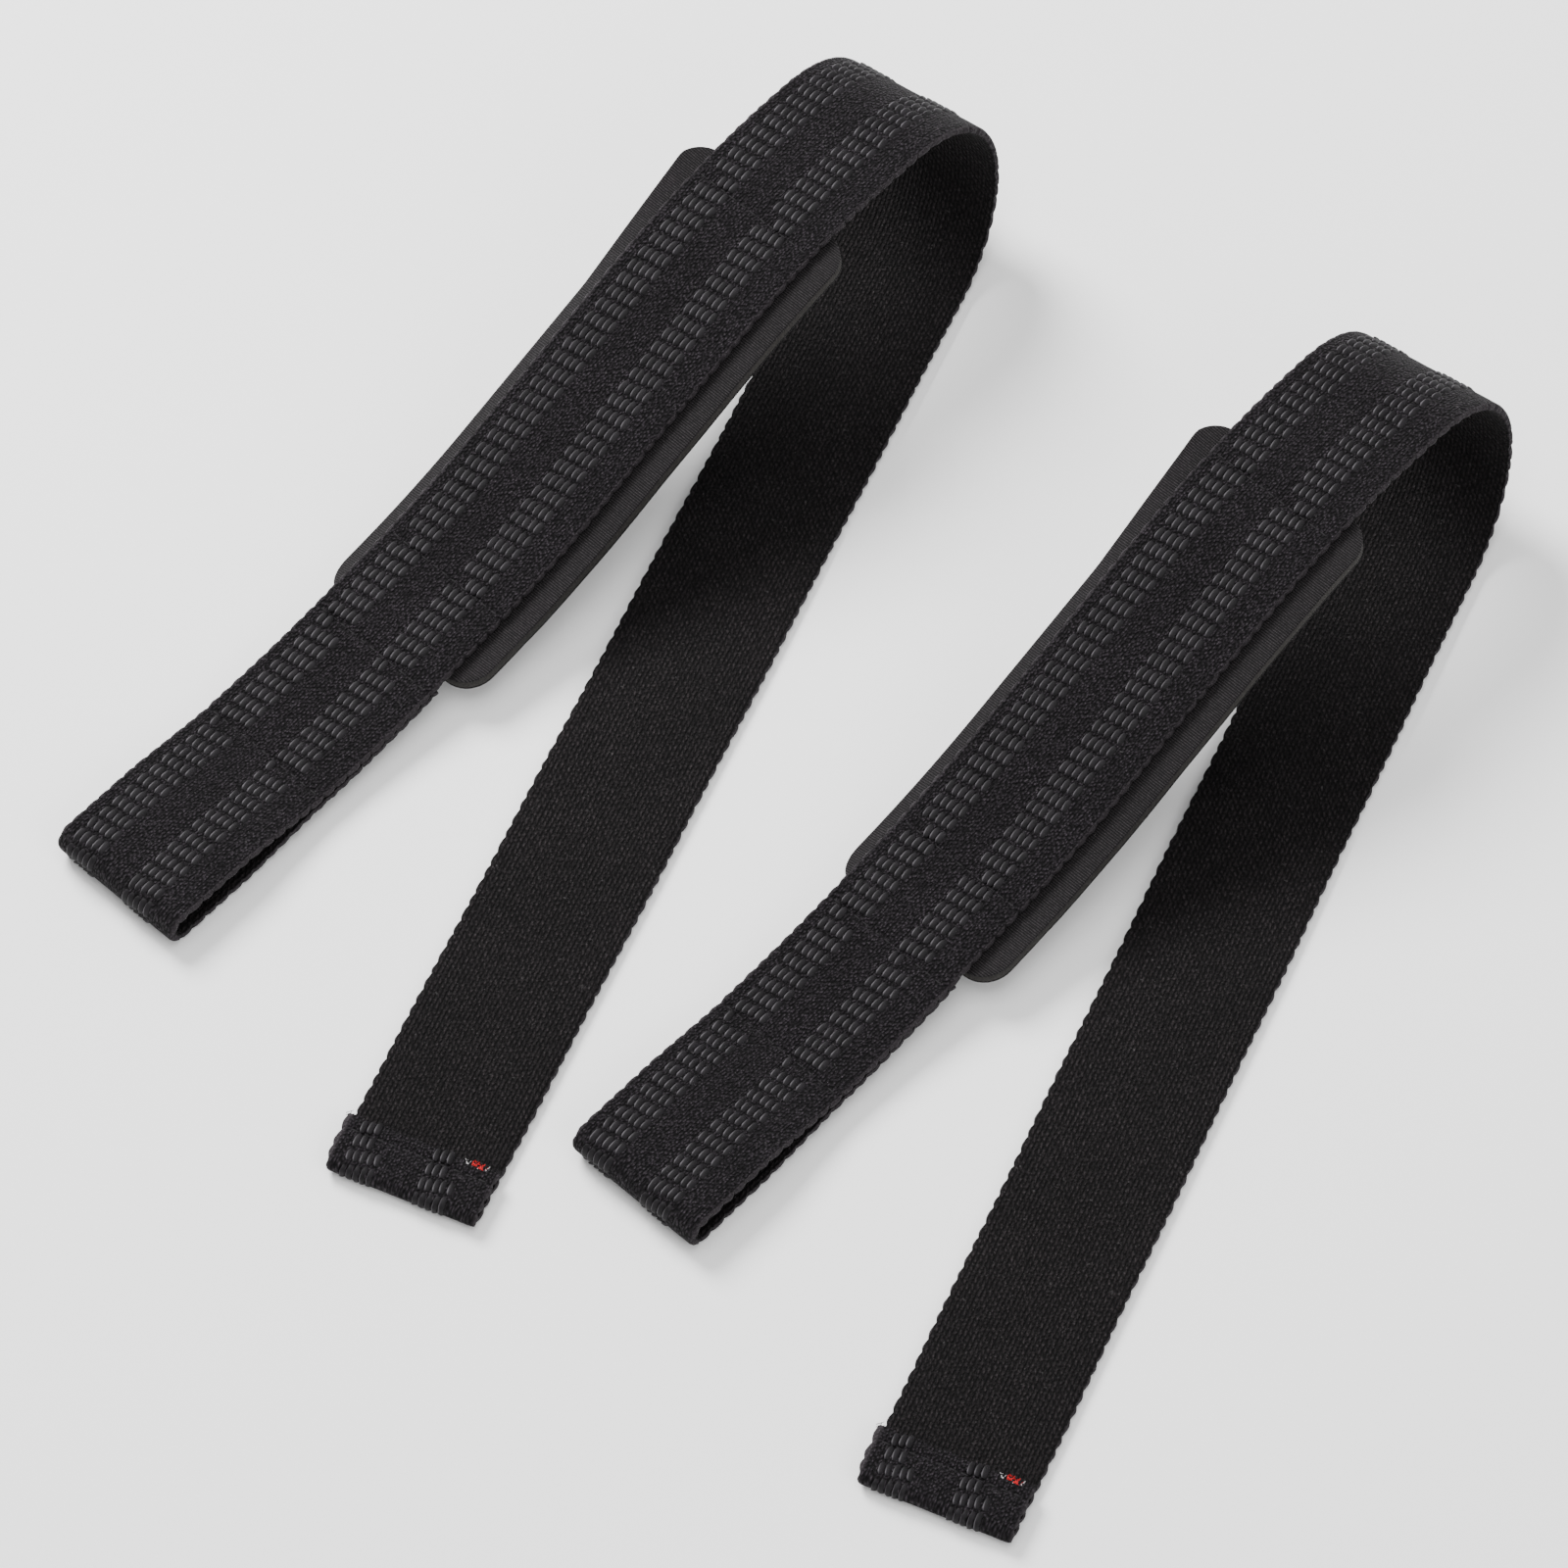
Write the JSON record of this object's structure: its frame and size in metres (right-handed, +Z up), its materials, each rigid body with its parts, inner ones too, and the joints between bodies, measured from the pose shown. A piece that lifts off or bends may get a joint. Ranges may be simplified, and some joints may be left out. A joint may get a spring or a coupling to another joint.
{
  "type": "padded lifting straps",
  "caption": "Pair of padded webbing straps: sewn wrist loop, foam wrist pad, woven rubber cords, and a long tail folded back under the leg through a soft bend.",
  "frame": {"origin": "on the table, under the middle of the pair's box", "axes": "+X along the axis of the bends, across the straps; +Y from the free ends to the bends; +Z up"},
  "size_m": [0.2848, 0.3108, 0.0542],
  "materials": {
    "webbing": "matt woven",
    "rubber_cord": "satin",
    "pad_jersey": "matt ribbed jersey",
    "pad_foam": "matt cut foam",
    "thread": "matt",
    "marker_yarn": "matt"
  },
  "bodies": {
    "left_wrist": {"left_wrist_webbing": "webbing", "left_wrist_cords": "rubber_cord", "left_doubled_end": "webbing", "left_pad_cover": "pad_jersey", "left_pad_foam": "pad_foam", "left_pad_lining": "pad_jersey", "left_loop_stitching": "thread", "left_pad_stitching": "thread"},
    "left_tail": {"left_tail_webbing": "webbing", "left_tail_cords": "rubber_cord", "left_hem": "webbing", "left_hem_cords": "rubber_cord", "left_hem_stitching": "thread", "left_marker_yarns": "marker_yarn"},
    "left_bend_1": {"left_bend_link_1": "webbing", "left_bend_cords_1": "rubber_cord"},
    "left_bend_2": {"left_bend_link_2": "webbing", "left_bend_cords_2": "rubber_cord"},
    "left_bend_3": {"left_bend_link_3": "webbing", "left_bend_cords_3": "rubber_cord"},
    "left_bend_4": {"left_bend_link_4": "webbing", "left_bend_cords_4": "rubber_cord"},
    "left_loop_upper_near": {"left_loop_upper_near": "webbing", "left_loop_upper_near_cords": "rubber_cord"},
    "left_loop_upper_far": {"left_loop_upper_far": "webbing", "left_loop_upper_far_cords": "rubber_cord"},
    "left_loop_lower_near": {"left_loop_lower_near": "webbing", "left_loop_lower_near_cords": "rubber_cord"},
    "left_loop_lower_far": {"left_loop_lower_far": "webbing", "left_loop_lower_far_cords": "rubber_cord"},
    "right_wrist": {"right_wrist_webbing": "webbing", "right_wrist_cords": "rubber_cord", "right_doubled_end": "webbing", "right_pad_cover": "pad_jersey", "right_pad_foam": "pad_foam", "right_pad_lining": "pad_jersey", "right_loop_stitching": "thread", "right_pad_stitching": "thread"},
    "right_tail": {"right_tail_webbing": "webbing", "right_tail_cords": "rubber_cord", "right_hem": "webbing", "right_hem_cords": "rubber_cord", "right_hem_stitching": "thread", "right_marker_yarns": "marker_yarn"},
    "right_bend_1": {"right_bend_link_1": "webbing", "right_bend_cords_1": "rubber_cord"},
    "right_bend_2": {"right_bend_link_2": "webbing", "right_bend_cords_2": "rubber_cord"},
    "right_bend_3": {"right_bend_link_3": "webbing", "right_bend_cords_3": "rubber_cord"},
    "right_bend_4": {"right_bend_link_4": "webbing", "right_bend_cords_4": "rubber_cord"},
    "right_loop_upper_near": {"right_loop_upper_near": "webbing", "right_loop_upper_near_cords": "rubber_cord"},
    "right_loop_upper_far": {"right_loop_upper_far": "webbing", "right_loop_upper_far_cords": "rubber_cord"},
    "right_loop_lower_near": {"right_loop_lower_near": "webbing", "right_loop_lower_near_cords": "rubber_cord"},
    "right_loop_lower_far": {"right_loop_lower_far": "webbing", "right_loop_lower_far_cords": "rubber_cord"}
  },
  "joints": [
    {"name": "left_bend_hinge_5", "type": "hinge", "parent": "left_wrist", "child": "left_bend_4", "pos_m": [-0.0807, 0.13654, 0.0524], "axis": [1, 0, 0], "range_deg": [0, 36]},
    {"name": "left_bend_hinge_4", "type": "hinge", "parent": "left_bend_4", "child": "left_bend_3", "pos_m": [-0.07804, 0.14984, 0.04274], "axis": [1, 0, 0], "range_deg": [0, 36]},
    {"name": "left_bend_hinge_3", "type": "hinge", "parent": "left_bend_3", "child": "left_bend_2", "pos_m": [-0.07539, 0.15492, 0.0271], "axis": [1, 0, 0], "range_deg": [0, 36]},
    {"name": "left_bend_hinge_2", "type": "hinge", "parent": "left_bend_2", "child": "left_bend_1", "pos_m": [-0.07274, 0.14984, 0.01146], "axis": [1, 0, 0], "range_deg": [0, 36]},
    {"name": "left_bend_hinge_1", "type": "hinge", "parent": "left_bend_1", "child": "left_tail", "pos_m": [-0.07008, 0.13654, 0.0018], "axis": [1, 0, 0], "range_deg": [0, 36]},
    {"name": "left_mouth_upper", "type": "hinge", "parent": "left_wrist", "child": "left_loop_upper_near", "pos_m": [-0.1157, -0.0751, 0.0075], "axis": [-0.9866, 0.1633, 0], "range_deg": [0, 40]},
    {"name": "left_mid_upper", "type": "hinge", "parent": "left_loop_upper_near", "child": "left_loop_upper_far", "pos_m": [-0.11967, -0.09913, 0.00789], "axis": [0.9866, -0.1633, 0], "range_deg": [0, 80]},
    {"name": "left_mouth_lower", "type": "hinge", "parent": "left_wrist", "child": "left_loop_lower_near", "pos_m": [-0.1157, -0.0751, 0.0031], "axis": [0.9866, -0.1633, 0], "range_deg": [0, 40]},
    {"name": "left_mid_lower", "type": "hinge", "parent": "left_loop_lower_near", "child": "left_loop_lower_far", "pos_m": [-0.11967, -0.09913, 0.00271], "axis": [-0.9866, 0.1633, 0], "range_deg": [0, 80]},
    {"name": "right_bend_hinge_5", "type": "hinge", "parent": "right_wrist", "child": "right_bend_4", "pos_m": [0.06531, 0.13654, 0.0524], "axis": [1, 0, 0], "range_deg": [0, 36]},
    {"name": "right_bend_hinge_4", "type": "hinge", "parent": "right_bend_4", "child": "right_bend_3", "pos_m": [0.06796, 0.14984, 0.04274], "axis": [1, 0, 0], "range_deg": [0, 36]},
    {"name": "right_bend_hinge_3", "type": "hinge", "parent": "right_bend_3", "child": "right_bend_2", "pos_m": [0.07061, 0.15492, 0.0271], "axis": [1, 0, 0], "range_deg": [0, 36]},
    {"name": "right_bend_hinge_2", "type": "hinge", "parent": "right_bend_2", "child": "right_bend_1", "pos_m": [0.07326, 0.14984, 0.01146], "axis": [1, 0, 0], "range_deg": [0, 36]},
    {"name": "right_bend_hinge_1", "type": "hinge", "parent": "right_bend_1", "child": "right_tail", "pos_m": [0.07591, 0.13654, 0.0018], "axis": [1, 0, 0], "range_deg": [0, 36]},
    {"name": "right_mouth_upper", "type": "hinge", "parent": "right_wrist", "child": "right_loop_upper_near", "pos_m": [0.0303, -0.0751, 0.0075], "axis": [-0.9866, 0.1633, 0], "range_deg": [0, 40]},
    {"name": "right_mid_upper", "type": "hinge", "parent": "right_loop_upper_near", "child": "right_loop_upper_far", "pos_m": [0.02633, -0.09913, 0.00789], "axis": [0.9866, -0.1633, 0], "range_deg": [0, 80]},
    {"name": "right_mouth_lower", "type": "hinge", "parent": "right_wrist", "child": "right_loop_lower_near", "pos_m": [0.0303, -0.0751, 0.0031], "axis": [0.9866, -0.1633, 0], "range_deg": [0, 40]},
    {"name": "right_mid_lower", "type": "hinge", "parent": "right_loop_lower_near", "child": "right_loop_lower_far", "pos_m": [0.02633, -0.09913, 0.00271], "axis": [-0.9866, 0.1633, 0], "range_deg": [0, 80]},
    {"name": "lift_apart", "type": "slide", "parent": "left_wrist", "child": "right_wrist", "axis": [0, 0, 1], "range_m": [0, 0.12]}
  ],
  "couplings": [
    {"joint": "left_bend_hinge_2", "follows": "left_bend_hinge_1", "ratio": 1},
    {"joint": "left_bend_hinge_3", "follows": "left_bend_hinge_1", "ratio": 1},
    {"joint": "left_bend_hinge_4", "follows": "left_bend_hinge_1", "ratio": 1},
    {"joint": "left_bend_hinge_5", "follows": "left_bend_hinge_1", "ratio": 1},
    {"joint": "left_mid_upper", "follows": "left_mouth_upper", "ratio": 2},
    {"joint": "left_mouth_lower", "follows": "left_mouth_upper", "ratio": 1},
    {"joint": "left_mid_lower", "follows": "left_mouth_upper", "ratio": 2},
    {"joint": "right_bend_hinge_2", "follows": "right_bend_hinge_1", "ratio": 1},
    {"joint": "right_bend_hinge_3", "follows": "right_bend_hinge_1", "ratio": 1},
    {"joint": "right_bend_hinge_4", "follows": "right_bend_hinge_1", "ratio": 1},
    {"joint": "right_bend_hinge_5", "follows": "right_bend_hinge_1", "ratio": 1},
    {"joint": "right_mid_upper", "follows": "right_mouth_upper", "ratio": 2},
    {"joint": "right_mouth_lower", "follows": "right_mouth_upper", "ratio": 1},
    {"joint": "right_mid_lower", "follows": "right_mouth_upper", "ratio": 2}
  ]
}
